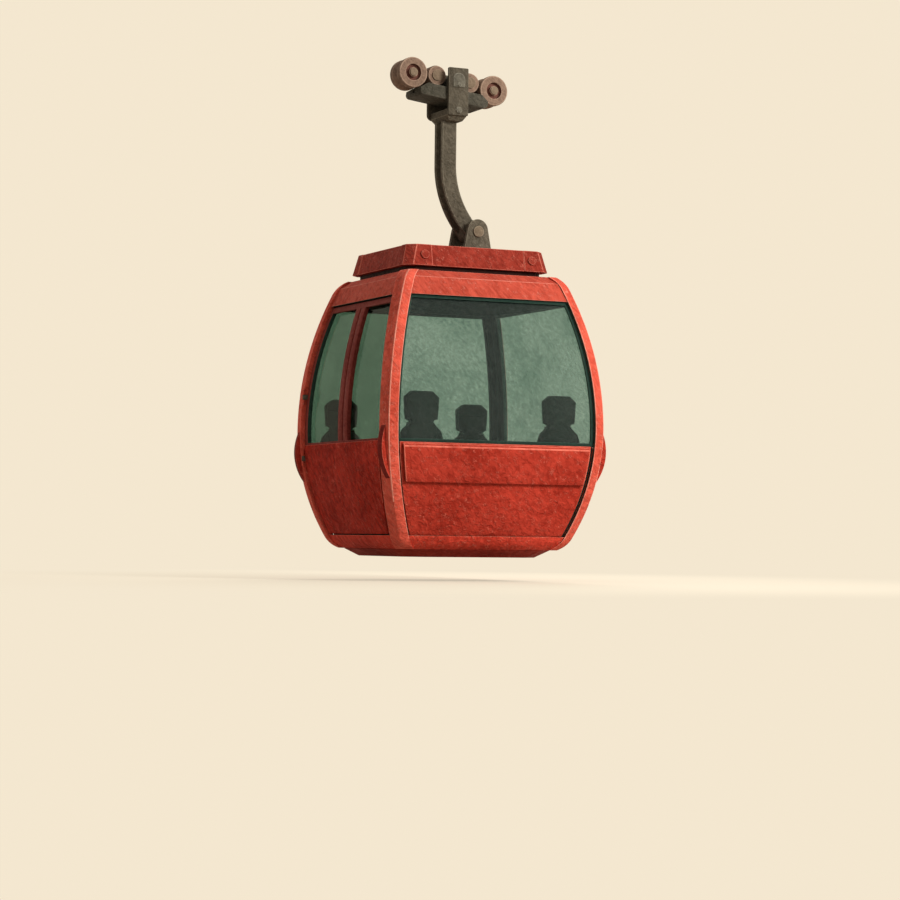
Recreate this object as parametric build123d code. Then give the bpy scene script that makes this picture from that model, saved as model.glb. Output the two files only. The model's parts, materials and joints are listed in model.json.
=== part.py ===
from build123d import *
import math
import os

os.makedirs("parts", exist_ok=True)

# A cable car cabin for eight people, with its hanger and the rope carriage that it hangs from.
# Millimetres. x runs down the rope, y across it, z up, and the finished part has its origin on the
# rope's axis in the middle of the grip. Cabin and hanger are drawn with z from the sills' lower edge
# and x from the cabin's middle, and the carriage is drawn on a level rope, then tilted with the slope.
# An inset is how far a surface lies inside the outline of the corner posts at the same height.

# Rope and layout
rope_radius = 25.0
rope_slope = 7.1
rope_height = 3635.0
balance_x = -19.0

# Body outline: half width at the belt, and the arcs above and below it
belt_half = 945.0
belt_z = 950.0
roof_z = 2160.0
upper_radius = 3100.0
lower_radius = 2150.0
shoulder_drop = 100.0
shoulder_lean = 55.0
foot_height = 90.0
foot_lean = 65.0
shoulder_z = roof_z - shoulder_drop

# Corner posts: an angle section whose two outer faces lean towards the corner
post_wide_side = 100.0
post_end_side = 145.0
post_wall = 40.0
post_lean = 10.0

# Walls
seam = 0.3
weld = 5.0
sill_top = 105.0
sill_inset = 14.0
sill_depth = 60.0
panel_inset = 28.0
panel_thick = 18.0
lining_thick = 12.0
panel_gap = 20.0
header_height = 202.0
header_bottom = roof_z - header_height
header_inset = 12.0
header_depth = 60.0
header_bevel_rise = 58.0
header_bevel_run = 76.0

# Raised band across the long walls, under the windows
band_bottom = 510.0
band_top = 806.0
band_proud = 34.0
band_end_gap = 40.0
band_bevel_run = 16.0
band_bevel_drop = 26.0

# Windows
window_bottom = 816.0
frame_inset = 34.0
frame_depth = 20.0
frame_width = 26.0
glass_lap = 16.0
glass_thick = 6.0

# Door in the uphill end: one leaf with two panes, hinged on the far side
door_gap = 20.0
door_sill_gap = 10.0
door_head_gap = 13.0
door_skin_inset = 18.0
door_skin_thick = 14.0
door_frame_depth = 34.0
door_stile = 48.0
door_rail_bottom = 800.0
door_rail_top = 846.0
door_skin_lap = 30.0
door_skin_margin = 52.0
door_skin_bevel_run = 9.0
door_skin_bevel_drop = 24.0
door_top_rail = 45.0
mullion_width = 180.0
mullion_groove = 22.0
mullion_groove_depth = 14.0
hinge_inset = 13.0
hinge_drop = 12.0
hinge_side_play = 1.5
knuckle_length = 40.0
knuckle_gap = 2.0
hinge_leaf_thick = 4.0
hinge_leaf_width = 50.0
hinge_web = 8.0
hinge_pin_radius = 4.5

# Floor, skid pan and roof
floor_bottom = 70.0
floor_thick = 30.0
pan_depth = 60.0
pan_step = 9.0
pan_slope_run = 93.0
pan_corner = 150.0
pan_wall = 10.0
ceiling_thick = 16.0
ceiling_lap = 30.0
plinth_rise = 45.0
plinth_step_x = 75.0
plinth_step_y = 149.0
plinth_wall = 70.0
cap_rise = 167.0
cap_step_x = 37.0
cap_step_y = 107.0
cap_draw_in_x = 42.0
cap_draw_in_y = 28.0
cap_corner = 65.0
cap_wall = 14.0
cap_lip = 12.0
bracket_proud = 9.0
bracket_reach = 165.0

# Corner bumpers
bumper_bottom = 535.0
bumper_top = 940.0
bumper_proud = 44.0
bumper_width = 62.0

# Seats: a bench along each long wall with a seat at both of its ends
bench_top = 405.0
bench_end_gap = 12.0
bench_depth = 330.0
bench_wall_gap = 20.0
bench_board = 15.0
seat_end_gap = 153.0
seat_width = 400.0
cushion_thick = 95.0
cushion_reach = 550.0
back_thick = 95.0
back_top = 885.0
back_reach = 195.0
headrest_width = 290.0
headrest_top = 1230.0
neck_width = 150.0
neck_height = 40.0
shoulder_cut = 55.0
headrest_cut = 60.0
headrest_slope = 20.0
soft_gap = 0.5

# Clevis on the roof and its pin
pin_x = 178.0
pin_height = 176.0
pin_radius = 30.0
pin_play = 0.3
pin_head_radius = 45.0
pin_head_thick = 14.0
ear_inner = 128.0
ear_thick = 37.0
ear_base = 250.0
ear_top_radius = 88.0
ear_crown = 12.0
clevis_plate = 26.0
clevis_plate_out_x = 30.0
clevis_plate_out_y = 20.0

# Hanger
arm_width = 133.0
arm_depth = 150.0
arm_corner = 10.0
arm_front_flange = 18.0
arm_rear_flange = 45.0
arm_groove = 36.0
arm_offset = -25.0
arm_turn = 45.0
arm_eye_radius = 74.0
arm_boss_radius = 56.0
block_drop = 233.0
block_height = 53.0
collar_height = 38.0
collar_draw_in = 26.0
head_half_width = 86.0
head_rear_widening = 24.0
head_plate_thick = 28.0
head_inner = 160.0
head_above = 96.0
head_corner = 9.0
head_rear_foot = 46.0
head_bolt_rise = 40.0
head_bolt_radius = 27.0
head_bolt_thick = 14.0
cover_radius = 51.0
cover_drop = 60.0
cover_thick = 12.0
cover_bolt_radius = 15.0
cover_bolt_drop = 44.0
cover_bolt_thick = 11.0

# Carriage: beam that clamps the rope, its jaw, pillar, side plate, sheaves and rail rollers
axle_rise = 119.0
grip_half_length = 298.0
grip_top = 50.0
grip_bottom = 50.0
grip_half_width = 150.0
grip_end_run = 58.0
grip_end_drop = 44.0
jaw_corner = 30.0
groove_play = 0.1
pillar_radius = 52.0
pillar_front = 140.0
shaft_radius = 30.0
sheave_x = 360.0
sheave_radius = 122.0
sheave_half_width = 100.0
sheave_groove_play = 1.0
sheave_groove_flare = 12.0
sheave_recess_radius = 66.0
sheave_recess_depth = 32.0
sheave_hub_radius = 38.0
sheave_edge = 6.0
roller_x = 148.0
roller_lift = 20.0
roller_radius = 82.0
roller_half_width = 88.0
roller_crown = 7.0
axle_radius = 25.0
axle_play = 0.3
axle_cap_thick = 12.0
axle_nut_radius = 36.0
axle_nut_thick = 12.0
sheave_cap_radius = 32.0
roller_cap_radius = 44.0
side_plate_inner = 108.0
side_plate_thick = 30.0
side_plate_border = 44.0
side_plate_foot_inset = 10.0
running_gap = 1.0

front, right, rear, left = 270, 0, 90, 180
span = 1.5 * belt_half


# The body outline

def barrel_reach(z):
    radius = upper_radius if z > belt_z else lower_radius
    return belt_half - radius + math.sqrt(radius**2 - (z - belt_z)**2)


def reach(z):
    """Half width of the body at a height, with the rounded shoulder and foot."""
    ends = (
        (shoulder_z, upper_radius, shoulder_drop, shoulder_lean, 1),
        (foot_height, lower_radius, foot_height, foot_lean, -1),
    )
    for knee, wall_radius, rise, lean, way in ends:
        if (z - knee) * way > 0:
            start = abs(knee - belt_z) / wall_radius
            bend = rise / (math.sin(math.radians(lean)) - start)
            centre_x = barrel_reach(knee) - bend * math.sqrt(1 - start**2)
            height = way * (z - knee) + bend * start
            return centre_x + math.sqrt(bend**2 - height**2)
    return barrel_reach(z)


def wall_line(inset, low, high, scale=1.0):
    """Arcs of the outline between two heights, moved in by an inset."""
    def point(z):
        return (scale * reach(z) - inset, z)

    heights = [low] + [z for z in (foot_height, belt_z, shoulder_z) if low < z < high] + [high]
    return [ThreePointArc(point(a), point((a + b) / 2), point(b)) for a, b in zip(heights, heights[1:])]


def prism(edges, facing=right, length=span):
    """The closed outline of x and z, drawn out level on both sides and turned to face a side."""
    face = Plane.XZ * make_face(edges)
    return Rot(0, 0, facing) * extrude(face, amount=length, both=True)


def sheet(facing, outer, inner, low, high):
    """A curved wall on one side of the body, between two insets and two heights."""
    outside = wall_line(outer, low, high)
    inside = wall_line(inner, low, high)
    ends = [Line(outside[0] @ 0, inside[0] @ 0), Line(outside[-1] @ 1, inside[-1] @ 1)]
    return prism(outside + inside + ends, facing)


def slab(facing, inset, low=0.0, high=roof_z):
    """All that lies between two opposite sides of the body."""
    one = wall_line(inset, low, high)
    other = [edge.mirror(Plane.YZ) for edge in one]
    ends = [Line(one[0] @ 0, other[0] @ 0), Line(one[-1] @ 1, other[-1] @ 1)]
    return prism(one + other + ends, facing)


def half_slab(facing, inset, scale, low=0.0, high=roof_z):
    """What lies inside one side of the body, out from the middle."""
    line = wall_line(inset, low, high, scale)
    top = line[-1] @ 1
    bottom = line[0] @ 0
    rest = Polyline((top.X, top.Y), (0, high), (0, low), (bottom.X, bottom.Y))
    return prism(line + [rest], facing)


def barrel(inset, low=0.0, high=roof_z):
    return slab(right, inset, low, high) & slab(rear, inset, low, high)


def box(low, high):
    """A box from its lowest corner to its highest."""
    size = [b - a for a, b in zip(low, high)]
    middle = [(a + b) / 2 for a, b in zip(low, high)]
    return Pos(*middle) * Box(*size)


def mirrored(shape, x_side, y_side):
    """A shape drawn at the +x +y corner, moved to another corner."""
    if x_side < 0:
        shape = mirror(shape, about=Plane.YZ)
    if y_side < 0:
        shape = mirror(shape, about=Plane.XZ)
    return shape


corners = {
    "front_left": (-1, -1),
    "front_right": (1, -1),
    "rear_left": (-1, 1),
    "rear_right": (1, 1),
}


# Posts, walls and windows

def leaning_line(side):
    """The inset and scale of the outline that a post's leaning face follows."""
    lean = math.radians(post_lean)
    return side * math.sin(lean), math.sin(lean) + math.cos(lean)


def post_facet(facing, side, deeper=0.0):
    """The body cut by one of a post's two leaning faces, which starts at the post's inner edge."""
    inset, scale = leaning_line(side)
    return half_slab(facing, inset + deeper, scale)


def corner_post():
    wide = post_facet(rear - post_lean, post_wide_side)
    end = post_facet(right + post_lean, post_end_side)
    section = (wide & end) - slab(right, post_wide_side) - slab(rear, post_end_side)
    return section - barrel(post_wall)


def between_posts(facing, gap=seam, low=0.0, high=roof_z):
    """The space between the posts on a side, with a gap at each post."""
    if facing in (front, rear):
        return slab(right, post_wide_side + gap, low, high)
    return slab(rear, post_end_side + gap, low, high)


def sill(facing):
    return sheet(facing, sill_inset, sill_inset + sill_depth, 0, sill_top) & between_posts(facing)


def header(facing):
    """The rail over a window, with a straight bevel up to the roof's edge."""
    bevel_z = roof_z - header_bevel_rise
    inner = header_inset + header_depth
    low_x = reach(header_bottom)
    bevel_x = reach(bevel_z)
    top_x = bevel_x - header_bevel_run
    outline = Polyline(
        (low_x - header_inset, header_bottom),
        (bevel_x - header_inset, bevel_z),
        (top_x - header_inset, roof_z),
        (top_x - inner, roof_z),
        (low_x - inner, header_bottom),
        close=True,
    )
    return prism([outline], facing) & between_posts(facing)


def wall_panel(facing):
    skin = sheet(facing, panel_inset, panel_inset + panel_thick, sill_top + seam, window_bottom - seam)
    return skin & between_posts(facing, panel_gap)


def wall_lining(facing):
    outer = panel_inset + panel_thick + seam
    board = sheet(facing, outer, outer + lining_thick, sill_top + seam, window_bottom - seam)
    return board & between_posts(facing)


def bevel_cut(facing, outer, top, run, drop):
    """What a bevel takes off the upper outer edge of a wall with its outer face at an inset."""
    x = reach(top) - outer
    slant = drop / run
    corner = Polyline(
        (x + weld, top + weld),
        (x - run - weld / slant, top + weld),
        (x + weld, top - drop - weld * slant),
        close=True,
    )
    return prism([corner], facing)


def band(facing):
    outer = panel_inset - band_proud
    whole = sheet(facing, outer, panel_inset - seam, band_bottom, band_top)
    whole = whole - bevel_cut(facing, outer, band_top, band_bevel_run, band_bevel_drop)
    return whole & between_posts(facing, band_end_gap)


def window_ring(facing, border, low, high):
    """The space between the posts and two heights, less a border all round."""
    return between_posts(facing, seam + border, low + border, high - border)


def window_frame(facing):
    low = window_bottom
    high = header_bottom - seam
    plate = sheet(facing, frame_inset, frame_inset + frame_depth, low, high)
    return (plate & between_posts(facing)) - window_ring(facing, frame_width, low, high)


def window_glass(facing):
    outer = frame_inset + frame_depth + seam
    border = frame_width - glass_lap
    low = window_bottom + border
    high = header_bottom - seam - border
    return sheet(facing, outer, outer + glass_thick, low, high) & between_posts(facing, seam + border)


# Door

door_bottom = sill_top + door_sill_gap
door_top = header_bottom - door_head_gap
door_window_top = door_top - door_top_rail
door_frame_inset = door_skin_inset + door_skin_thick + seam


def door_skin():
    """The raised skin under the panes, which leaves the leaf's closing edge free for the fingers."""
    inner = door_skin_inset + door_skin_thick
    top = door_rail_bottom + door_skin_lap
    whole = sheet(left, door_skin_inset, inner, door_bottom, top) & between_posts(left, door_gap)
    whole = whole - bevel_cut(left, door_skin_inset, top, door_skin_bevel_run, door_skin_bevel_drop)
    front_half = box((-span, -span, 0), (0, 0, roof_z))
    return whole - (front_half - slab(rear, post_end_side + door_gap + door_skin_margin))


def door_frame():
    """The leaf's frame, with the mullion between its two panes and a groove down the mullion."""
    inset = door_frame_inset
    leaf = sheet(left, inset, inset + door_frame_depth, door_bottom, door_top)
    leaf = leaf & between_posts(left, door_gap)
    lower = between_posts(left, door_gap + door_stile, door_bottom + door_stile, door_rail_bottom)
    upper = between_posts(left, door_gap + door_stile, door_rail_top, door_window_top)
    half = mullion_width / 2
    mullion = box((-span, -half, door_rail_top), (0, half, door_window_top))
    groove_half = mullion_groove / 2
    groove = sheet(left, inset - seam, inset + mullion_groove_depth, door_rail_top, door_window_top)
    groove = groove & box((-span, -groove_half, 0), (0, groove_half, roof_z))
    return leaf - lower - (upper - mullion) - groove


def door_glass():
    """The pane on the hinges' side, behind the frame, lapping stile, mullion and both rails."""
    outer = door_frame_inset + door_frame_depth + seam
    low = door_rail_top - glass_lap
    high = door_window_top + glass_lap
    pane = sheet(left, outer, outer + glass_thick, low, high)
    pane = pane & between_posts(left, door_gap + door_stile - glass_lap)
    return pane & box((-span, mullion_width / 2 - glass_lap, 0), (0, span, roof_z))


# The hinges sit in the gap beside the leaf, where the outline has drawn in by hinge_drop above and
# below the belt, so that one upright axis passes through both. It stands just outside the leaf.
hinge_x = -(belt_half - hinge_inset)
hinge_y = belt_half - hinge_drop - post_end_side - door_gap / 2
hinge_low_z = belt_z - math.sqrt(hinge_drop * (2 * lower_radius - hinge_drop))
hinge_high_z = belt_z + math.sqrt(hinge_drop * (2 * upper_radius - hinge_drop))


def knuckle(z):
    """A hinge barrel as wide as the gap beside the door allows."""
    return Pos(hinge_x, hinge_y, z) * Cylinder(door_gap / 2 - hinge_side_play, knuckle_length)


def hinge_space(z, width, low_y, high_y):
    half = knuckle_length / 2
    return box((hinge_x, low_y, z - half), (hinge_x + width, high_y, z + half))


def door_hinge(z):
    """The knuckle on the door's edge, with a web to its leaf, which lies against the edge."""
    edge = post_end_side + door_gap - seam
    leaf = hinge_space(z, hinge_leaf_width, 0, span) & slab(rear, edge - hinge_leaf_thick)
    web = hinge_space(z, hinge_web, 0, hinge_y)
    bore = Pos(hinge_x, hinge_y, z) * Cylinder(hinge_pin_radius + pin_play, 2 * knuckle_length)
    return (leaf + web - slab(rear, edge)) + knuckle(z) - bore


def post_hinge(z):
    """The fixed knuckles above and below a door knuckle, with their leaves on the post, and the pin."""
    edge = post_end_side + seam
    shape = Pos(hinge_x, hinge_y, z) * Cylinder(hinge_pin_radius, 3 * knuckle_length + 2 * knuckle_gap)
    for way in (-1, 1):
        middle = z + way * (knuckle_length + knuckle_gap)
        leaf = hinge_space(middle, hinge_leaf_width, 0, span) - slab(rear, edge + hinge_leaf_thick)
        web = hinge_space(middle, hinge_web, hinge_y, span)
        shape = shape + knuckle(middle) + ((leaf + web) & slab(rear, edge))
    return shape


def hinge_pocket(z):
    """The hollow that a hinge's knuckles need in the post's edge."""
    return Pos(hinge_x, hinge_y, z) * Cylinder(door_gap / 2, 3 * knuckle_length + 4 * knuckle_gap)


# Bumpers

def bumper():
    """An upright lens on a post's end side, for the +x +y corner."""
    lean = math.radians(post_lean)
    inset, scale = leaning_line(post_end_side)
    inset = inset - seam
    back = wall_line(inset, bumper_bottom, bumper_top, scale)
    middle = (bumper_bottom + bumper_top) / 2
    bottom = back[0] @ 0
    top = back[-1] @ 1
    crown = (scale * reach(middle) - inset + bumper_proud, middle)
    nose = ThreePointArc((bottom.X, bottom.Y), crown, (top.X, top.Y))
    facing = right + post_lean
    lens = extrude(Plane.XZ * make_face(back + [nose]), amount=bumper_width / 2, both=True)
    side_middle = reach(middle) - post_end_side / 2
    aside = side_middle * math.cos(lean) - reach(middle) * math.sin(lean)
    return Rot(0, 0, facing) * Pos(0, aside, 0) * lens


# Floor and roof

def chamfered(half_x, half_y, corner, z):
    outline = Polyline(
        (half_x, half_y - corner),
        (half_x - corner, half_y),
        (-half_x + corner, half_y),
        (-half_x, half_y - corner),
        (-half_x, -half_y + corner),
        (-half_x + corner, -half_y),
        (half_x - corner, -half_y),
        (half_x, -half_y + corner),
        close=True,
    )
    return Pos(0, 0, z) * make_face(outline)


def drawn(low_section, high_section):
    return loft([low_section, high_section], ruled=True)


def floor_frame():
    """The floor plate welded into the four sills, which stop at the posts."""
    inner = sill_inset + sill_depth - weld
    shape = barrel(inner, floor_bottom, floor_bottom + floor_thick)
    for facing in (front, right, rear, left):
        shape = shape + sill(facing)
    return shape


def pan_form(wall):
    """The pan's outer form, or the hollow inside it at a wall thickness."""
    half = reach(0) - pan_step - wall
    top = chamfered(half, half, pan_corner, -seam)
    bottom = chamfered(half - pan_slope_run, half - pan_slope_run, pan_corner, -pan_depth + wall)
    return drawn(bottom, top)


def skid_pan():
    return pan_form(0) - pan_form(pan_wall)


def roof_frame():
    """The four window headers, tied together by the flat ceiling plate."""
    half = reach(roof_z - header_bevel_rise) - header_bevel_run - header_inset - header_depth + ceiling_lap
    shape = box((-half, -half, roof_z - ceiling_thick), (half, half, roof_z))
    for facing in (front, right, rear, left):
        shape = shape + header(facing)
    return shape


def plinth_form(inset, low, height):
    half_x = reach(roof_z) - plinth_step_x - inset
    half_y = reach(roof_z) - plinth_step_y - inset
    return extrude(chamfered(half_x, half_y, cap_corner, low), amount=height)


def roof_plinth():
    """The recessed frame that the cap stands on."""
    low = roof_z + seam
    return plinth_form(0, low, plinth_rise - 2 * seam) - plinth_form(plinth_wall, low, plinth_rise)


def cap_form(grow, top_wall=0.0):
    """The cap's outer form, moved out all round, and ended below the top by a wall."""
    low = roof_z + plinth_rise
    rise = cap_rise - top_wall
    share = rise / cap_rise
    half_x = reach(roof_z) - cap_step_x + grow
    half_y = reach(roof_z) - cap_step_y + grow
    bottom = chamfered(half_x, half_y, cap_corner, low)
    top = chamfered(half_x - share * cap_draw_in_x, half_y - share * cap_draw_in_y, cap_corner, low + rise)
    return drawn(bottom, top)


def roof_cap():
    """The hollow cap, with a raised plate wrapped round each of its corners and a lip on the plinth."""
    inner_x = reach(roof_z) - cap_step_x - bracket_reach
    inner_y = reach(roof_z) - cap_step_y - bracket_reach
    low = roof_z + plinth_rise
    corner_area = box((inner_x, inner_y, low), (span, span, low + cap_rise))
    shape = cap_form(0)
    for x_side, y_side in corners.values():
        shape = shape + (cap_form(bracket_proud) & mirrored(corner_area, x_side, y_side))
    hollow = cap_form(-cap_wall, cap_wall) - box((-span, -span, low), (span, span, low + cap_lip))
    return shape - hollow - plinth_form(plinth_wall, low, cap_lip)


# Seats

wall_inner = panel_inset + panel_thick + seam + lining_thick
seat_x = belt_half - seat_end_gap - seat_width / 2


def bench():
    """The box under the two seats of the rear wall, open below."""
    back_y = reach(sill_top) - sill_inset - sill_depth - bench_wall_gap
    low = floor_bottom + floor_thick + seam
    half = reach(0) - bench_end_gap
    whole = box((-half, back_y - bench_depth, low), (half, back_y, bench_top))
    inner_x = half - bench_board
    inner_low = (-inner_x, back_y - bench_depth + bench_board, low)
    inner_high = (inner_x, back_y - bench_board, bench_top - bench_board)
    return whole - box(inner_low, inner_high)


def cushion():
    low = bench_top + soft_gap
    high = low + cushion_thick
    half = seat_width / 2
    block = box((seat_x - half, belt_half - cushion_reach, low), (seat_x + half, span, high))
    return block & slab(rear, wall_inner + soft_gap)


def seat_back():
    """Backrest, neck and headrest in one, standing on the cushion's rear and against the wall."""
    low = bench_top + cushion_thick + 2 * soft_gap
    half = seat_width / 2
    head = headrest_width / 2
    neck = neck_width / 2
    rest_bottom = back_top + neck_height
    half_outline = [
        (half, low),
        (half, back_top - shoulder_cut),
        (half - shoulder_cut, back_top),
        (neck, back_top),
        (neck, rest_bottom),
        (head, rest_bottom + headrest_slope),
        (head, headrest_top - headrest_cut),
        (head - headrest_cut, headrest_top),
    ]
    outline = Polyline(half_outline + [(-x, z) for x, z in reversed(half_outline)], close=True)
    plate = Pos(seat_x, 0, 0) * extrude(Plane.XZ * make_face(outline), amount=-span)
    face_y = belt_half - back_reach
    depth = box((0, face_y, low), (span, face_y + back_thick, headrest_top))
    return plate & depth & slab(rear, wall_inner + soft_gap)


# Clevis, pin and hanger

cap_top = roof_z + plinth_rise + cap_rise
pin_z = cap_top + pin_height
ear_outer = ear_inner + ear_thick
pivot_x = balance_x
pivot_z = rope_height + axle_rise * math.cos(math.radians(rope_slope))


def across(radius, low_y, high_y, x, z):
    """A round bar along y."""
    bar = Cylinder(radius, high_y - low_y)
    return Pos(x, (low_y + high_y) / 2, z) * Rot(90, 0, 0) * bar


def clevis():
    """Base plate and two ears, each a tapering plate with a round head, bored for the pin."""
    low = cap_top + seam
    foot = Line((pin_x - ear_base / 2, low), (pin_x + ear_base / 2, low))
    crown = Pos(pin_x, pin_z + ear_crown, 0) * Circle(ear_top_radius).edge()
    ear = Plane.XZ * make_hull([foot, crown])
    ear = extrude(ear, amount=ear_thick / 2, both=True)
    middle = ear_inner + ear_thick / 2
    half_x = ear_base / 2 + clevis_plate_out_x
    half_y = ear_outer + clevis_plate_out_y
    shape = box((pin_x - half_x, -half_y, low), (pin_x + half_x, half_y, low + clevis_plate))
    for side in (-1, 1):
        shape = shape + Pos(0, side * middle, 0) * ear
    return shape - across(pin_radius + pin_play, -span, span, pin_x, pin_z)


def clevis_pin():
    end = ear_outer + running_gap
    head = across(pin_head_radius, end, end + pin_head_thick, pin_x, pin_z)
    return across(pin_radius, -end, end, pin_x, pin_z) + head + mirrored(head, 1, -1)


def arm_section():
    """A square with its corners cut, and a groove in both sides between its two flanges."""
    half = arm_width / 2
    edge = arm_depth / 2
    cut = arm_corner
    neck = half - arm_groove
    front_lip = edge - arm_front_flange
    rear_lip = -edge + arm_rear_flange
    side = [
        (half - cut, -edge),
        (half, -edge + cut),
        (half, rear_lip),
        (neck, rear_lip),
        (neck, front_lip),
        (half, front_lip),
        (half, edge - cut),
        (half - cut, edge),
    ]
    return make_face(Polyline(side + [(-x, y) for x, y in reversed(side)], close=True))


def hanger_arm():
    """A grooved beam that hangs plumb, bends towards the clevis and ends in an eye with two bosses."""
    arm_x = pivot_x + arm_offset
    turn = math.radians(arm_turn)
    bend = (pin_x - arm_x) / (1 - math.cos(turn))
    bend_z = pin_z + bend * math.sin(turn)
    top_z = pivot_z - block_drop - block_height - collar_height - seam
    middle = (arm_x + bend * (1 - math.cos(turn / 2)), bend_z - bend * math.sin(turn / 2))
    path = Line((arm_x, top_z), (arm_x, bend_z)) + ThreePointArc((arm_x, bend_z), middle, (pin_x, pin_z))
    path = Plane.XZ * path
    section = Plane((arm_x, 0, top_z), x_dir=(1, 0, 0), z_dir=(0, 0, -1)) * arm_section()
    tube = sweep(section, path=path, transition=Transition.RIGHT)
    eye = across(arm_eye_radius, -arm_depth / 2, arm_depth / 2, pin_x, pin_z)
    boss_end = ear_inner - running_gap
    boss = across(arm_boss_radius, -boss_end, boss_end, pin_x, pin_z)
    return tube + eye + boss - across(pin_radius + pin_play, -span, span, pin_x, pin_z)


def head_block():
    """The block between the head plates, with a collar drawn in towards the arm."""
    top = pivot_z - block_drop
    low = top - block_height
    inner = head_inner - seam
    half = head_half_width
    block = box((pivot_x - half, -inner, low), (pivot_x + half, inner, top))
    wide = Pos(pivot_x, 0, low) * Rectangle(2 * half, 2 * inner)
    narrow = Rectangle(2 * (half - collar_draw_in), 2 * (inner - collar_draw_in))
    return block + drawn(Pos(pivot_x, 0, low - collar_height) * narrow, wide)


def hex_head(radius, low_y, high_y, x, z):
    """A six-sided bolt head along y."""
    head = extrude(Plane.XZ * Pos(x, z) * RegularPolygon(radius, 6), amount=high_y - low_y)
    return Pos(0, high_y, 0) * head


def shaft_cover(y):
    """The raised cover over the pivot shaft's end: a round top on straight sides, and its bolt."""
    radius = cover_radius
    foot = -cover_drop
    outline = [
        Polyline((radius, 0), (radius, foot), (-radius, foot), (-radius, 0)),
        ThreePointArc((-radius, 0), (0, radius), (radius, 0)),
    ]
    face = Plane.XZ * Pos(pivot_x, pivot_z) * make_face(outline)
    cover = Pos(0, y + cover_thick, 0) * extrude(face, amount=cover_thick + weld)
    outer = y + cover_thick
    bolt = across(cover_bolt_radius, y, outer + cover_bolt_thick, pivot_x, pivot_z - cover_bolt_drop)
    return cover + bolt


def head_plate(half, foot_corner):
    """The +y plate: the pivot shaft ends in it, under a cover, and it is bolted to the block."""
    low = pivot_z - block_drop - block_height
    height = pivot_z + head_above - low
    outer = head_inner + head_plate_thick
    outline = Pos(pivot_x, low + height / 2) * Rectangle(2 * half, height)
    outline = fillet(outline.vertices().sort_by(Axis.Y)[:2], foot_corner)
    outline = fillet(outline.vertices().sort_by(Axis.Y)[-2:], head_corner)
    plate = Pos(0, outer, 0) * extrude(Plane.XZ * outline, amount=head_plate_thick)
    plate = plate - across(shaft_radius + axle_play, 0, outer, pivot_x, pivot_z)
    bolt_z = low + head_bolt_rise
    bolt = hex_head(head_bolt_radius, outer - weld, outer + head_bolt_thick, pivot_x, bolt_z)
    return plate + bolt + (shaft_cover(outer) - box((-span, 0, 0), (span, outer, 2 * pivot_z)))


# Carriage, on a level rope through the origin

def rope_space(radius):
    return Rot(0, 90, 0) * Cylinder(radius, 2 * span)


def beam(outline):
    """One half of the clamp, from its side outline, grooved for the rope."""
    bar = extrude(Plane.XZ * outline, amount=grip_half_width, both=True)
    return bar - rope_space(rope_radius + groove_play)


def grip_body():
    """The upper half, cut away round the sheaves, and the pillar that carries the pivot shaft."""
    end = grip_half_length
    outline = Polyline(
        (-end, seam),
        (end, seam),
        (end, grip_top - grip_end_drop),
        (end - grip_end_run, grip_top),
        (-end + grip_end_run, grip_top),
        (-end, grip_top - grip_end_drop),
        close=True,
    )
    foot_z = grip_top - weld
    half = pillar_radius
    pillar_outline = [
        Polyline((-half, axle_rise), (-half, foot_z), (half, foot_z), (half, axle_rise)),
        ThreePointArc((half, axle_rise), (0, axle_rise + half), (-half, axle_rise)),
    ]
    face = make_face(pillar_outline) - Pos(0, axle_rise) * Circle(shaft_radius + axle_play)
    depth = pillar_front + side_plate_inner - seam
    pillar = extrude(Plane.XZ * face, amount=depth / 2, both=True)
    return beam(make_face(outline)) + Pos(0, depth / 2 - pillar_front, 0) * pillar


def grip_jaw():
    """The lower half, with its lower ends rounded off."""
    outline = Pos(0, -grip_bottom / 2) * Rectangle(2 * grip_half_length, grip_bottom)
    return beam(fillet(outline.vertices().sort_by(Axis.Y)[:2], jaw_corner))


def wheel_places():
    return {
        "sheave_uphill": (-sheave_x, axle_rise),
        "roller_uphill": (-roller_x, axle_rise + roller_lift),
        "roller_downhill": (roller_x, axle_rise + roller_lift),
        "sheave_downhill": (sheave_x, axle_rise),
    }


def side_plate():
    """The plate behind the wheels that carries their axles, standing on the beam's upper face."""
    edges = [Pos(x, z) * Circle(side_plate_border).edge() for x, z in wheel_places().values()]
    foot = grip_half_length - grip_end_run - side_plate_foot_inset
    edges.append(Line((-foot, grip_top + seam), (foot, grip_top + seam)))
    plate = extrude(Plane.XZ * make_hull(edges), amount=side_plate_thick / 2, both=True)
    plate = Pos(0, side_plate_inner + side_plate_thick / 2, 0) * plate
    for name, (x, z) in wheel_places().items():
        plate = plate + axle(name, x, z)
    return plate - across(shaft_radius + axle_play, 0, span, 0, axle_rise)


def pivot_shaft():
    end = head_inner + head_plate_thick - running_gap
    return across(shaft_radius, -end, end, 0, axle_rise)


def axle(name, x, z):
    """An axle out of the side plate, with a nut behind it and a cap before its wheel."""
    is_sheave = name.startswith("sheave")
    half_width = sheave_half_width if is_sheave else roller_half_width
    cap_radius = sheave_cap_radius if is_sheave else roller_cap_radius
    cap_back = -half_width - running_gap
    back = side_plate_inner + side_plate_thick
    shape = across(axle_radius, cap_back - axle_cap_thick, back, x, z)
    shape = shape + across(cap_radius, cap_back - axle_cap_thick, cap_back, x, z)
    return shape + across(axle_nut_radius, back - weld, back + axle_nut_thick, x, z)


def turned(outline, x, z):
    """A profile of radius and width, spun round an axle along y."""
    face = Plane.XY * make_face(outline)
    wheel = revolve(face, axis=Axis.Y)
    return Pos(x, 0, z) * wheel


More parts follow.
